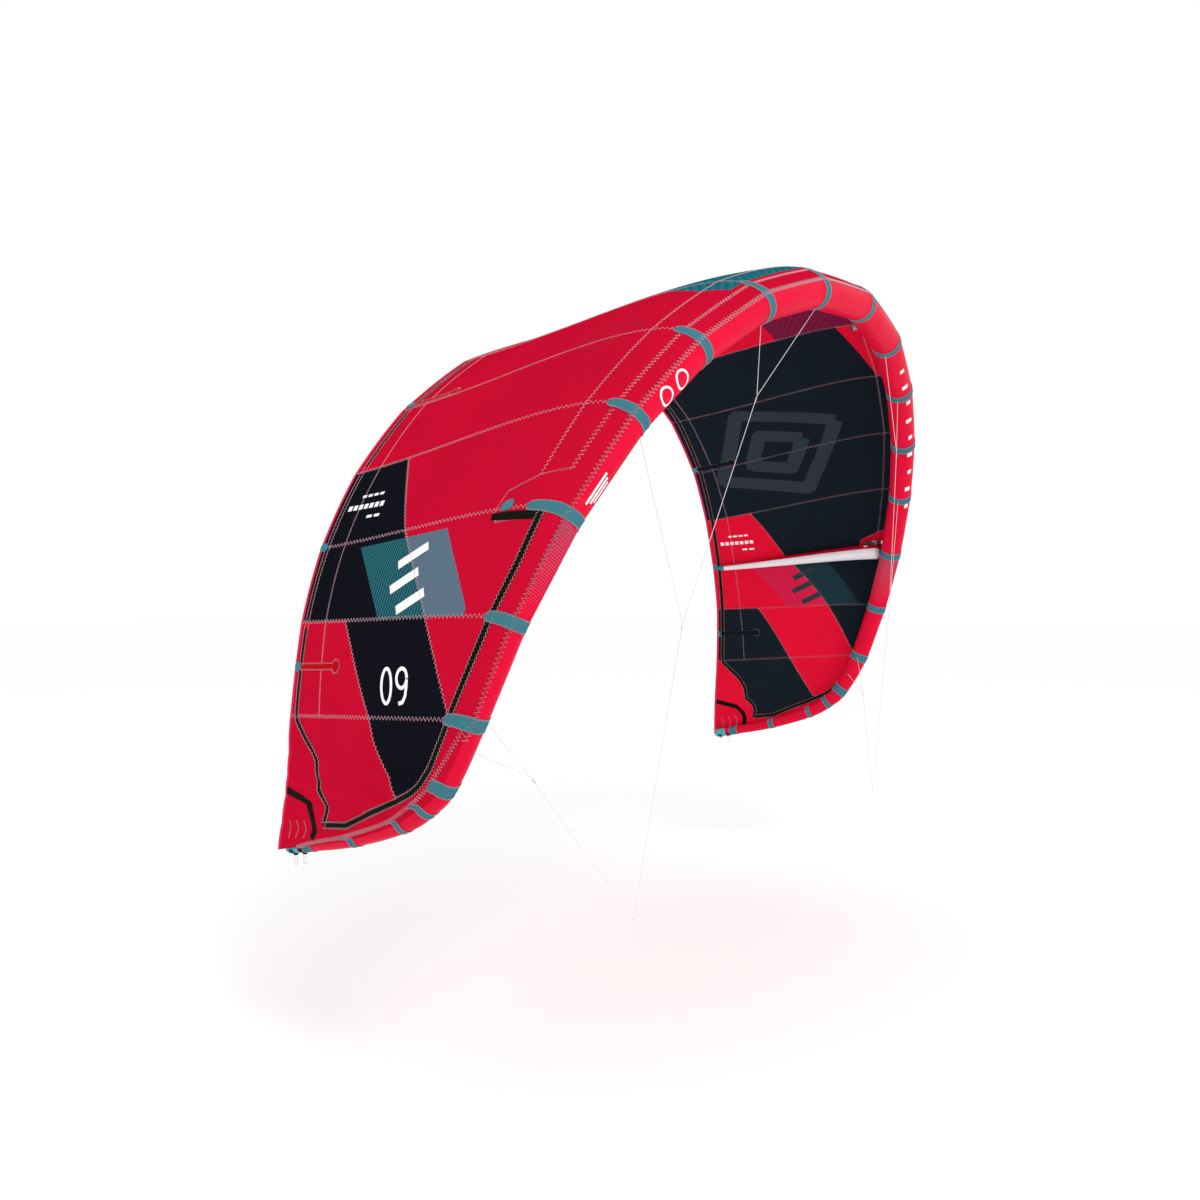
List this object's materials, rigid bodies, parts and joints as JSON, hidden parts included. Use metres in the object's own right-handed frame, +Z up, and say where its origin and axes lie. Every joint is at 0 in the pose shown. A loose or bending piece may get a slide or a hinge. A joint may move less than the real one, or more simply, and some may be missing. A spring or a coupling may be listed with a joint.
{
  "type": "kitesurf kite",
  "caption": "Inflatable kitesurf kite: arched ripstop canopy on an inflated leading edge tube with struts, reinforcement bands, bridle lines and back line loops.",
  "frame": {"origin": "on the leading edge tube's centreline in the middle of the kite, where a helper holds it up to launch it", "axes": "+X along the span, +Y along the chord from the leading edge to the trailing edge, +Z up, from the wing tips to the top of the arch"},
  "size_m": [4.1686, 1.7967, 2.71],
  "materials": {
    "tube_red": "woven polyester tube cloth, satin",
    "canopy_red": "ripstop polyester, slightly translucent",
    "canopy_black": "ripstop polyester, dyed dark",
    "band_teal": "woven reinforcement cloth, matt",
    "edge_tape": "folded polyester tape",
    "strut_white": "woven polyester tube cloth, satin",
    "bladder": "thin clear polyurethane film",
    "batten": "glass fibre rod",
    "valve_grey": "moulded polyurethane",
    "valve_black": "moulded polyurethane",
    "hose": "spiral reinforced hose",
    "line_white": "braided polyethylene line"
  },
  "bodies": {
    "kite": {"leading_edge_centre": "tube_red", "leading_edge_inner_left": "tube_red", "leading_edge_middle_left": "tube_red", "leading_edge_shoulder_left": "tube_red", "leading_edge_outer_left": "tube_red", "leading_edge_tip_left": "tube_red", "leading_edge_inner_right": "tube_red", "leading_edge_middle_right": "tube_red", "leading_edge_shoulder_right": "tube_red", "leading_edge_outer_right": "tube_red", "leading_edge_tip_right": "tube_red", "leading_edge_bladder": "bladder", "leading_edge_bands_left": "band_teal", "leading_edge_bands_right": "band_teal", "canopy_panel_1_left": "canopy_red", "canopy_panel_2_left": "canopy_red", "canopy_panel_3_left": "canopy_red", "canopy_panel_4_left": "canopy_red", "canopy_panel_5_left": "canopy_red", "canopy_panel_6_left": "canopy_red", "canopy_panel_7_left": "canopy_red", "canopy_tip_left": "canopy_red", "trailing_edge_tape_left": "edge_tape", "canopy_panel_1_right": "canopy_black", "canopy_panel_2_right": "canopy_black", "canopy_panel_3_right": "canopy_black", "canopy_panel_4_right": "canopy_black", "canopy_panel_5_right": "canopy_black", "canopy_panel_6_right": "canopy_black", "canopy_panel_7_right": "canopy_black", "canopy_tip_right": "canopy_red", "trailing_edge_tape_right": "edge_tape", "strut_centre": "strut_white", "strut_left": "strut_white", "strut_right": "strut_white", "strut_bladders": "bladder", "strut_tail_caps": "band_teal", "battens": "batten", "inflate_valve_body": "valve_grey", "transfer_hoses": "hose", "hose_clip_bodies": "valve_grey", "bridle_main_left": "line_white", "bridle_second_left": "line_white", "bridle_outer_left": "line_white", "bridle_lower_left": "line_white", "bridle_tip_left": "line_white", "bridle_knots_left": "line_white", "bridle_main_right": "line_white", "bridle_second_right": "line_white", "bridle_outer_right": "line_white", "bridle_lower_right": "line_white", "bridle_tip_right": "line_white", "bridle_knots_right": "line_white"},
    "valve_cap": {"inflate_valve_cap": "valve_black"},
    "clip_lever_centre": {"hose_clip_lever_centre": "valve_black"},
    "clip_lever_left": {"hose_clip_lever_left": "valve_black"},
    "clip_lever_right": {"hose_clip_lever_right": "valve_black"},
    "back_loops_left": {"back_line_loops_left": "line_white"},
    "back_loops_right": {"back_line_loops_right": "line_white"}
  },
  "joints": [
    {"name": "valve_cap_hinge", "type": "hinge", "parent": "kite", "child": "valve_cap", "pos_m": [0.1583, 0.0838, -0.0711], "axis": [-0.0646, -0.5718, -0.8178], "range_deg": [0, 110]},
    {"name": "clip_lever_centre_hinge", "type": "hinge", "parent": "kite", "child": "clip_lever_centre", "pos_m": [-0.069, 0.1211, 0.0335], "axis": [-1, 0, 0], "range_deg": [0, 75]},
    {"name": "clip_lever_left_hinge", "type": "hinge", "parent": "kite", "child": "clip_lever_left", "pos_m": [-1.835, 0.4969, -1.032], "axis": [-0.462, -0.0354, -0.8862], "range_deg": [0, 75]},
    {"name": "clip_lever_right_hinge", "type": "hinge", "parent": "kite", "child": "clip_lever_right", "pos_m": [1.835, 0.4969, -1.032], "axis": [-0.462, 0.0354, 0.8862], "range_deg": [0, 75]},
    {"name": "back_loops_left_swing", "type": "hinge", "parent": "kite", "child": "back_loops_left", "pos_m": [-1.9338, 1.6529, -2.3986], "axis": [0, 1, 0], "range_deg": [-70, 70]},
    {"name": "back_loops_right_swing", "type": "hinge", "parent": "kite", "child": "back_loops_right", "pos_m": [1.9338, 1.6529, -2.3986], "axis": [0, 1, 0], "range_deg": [-70, 70]}
  ]
}
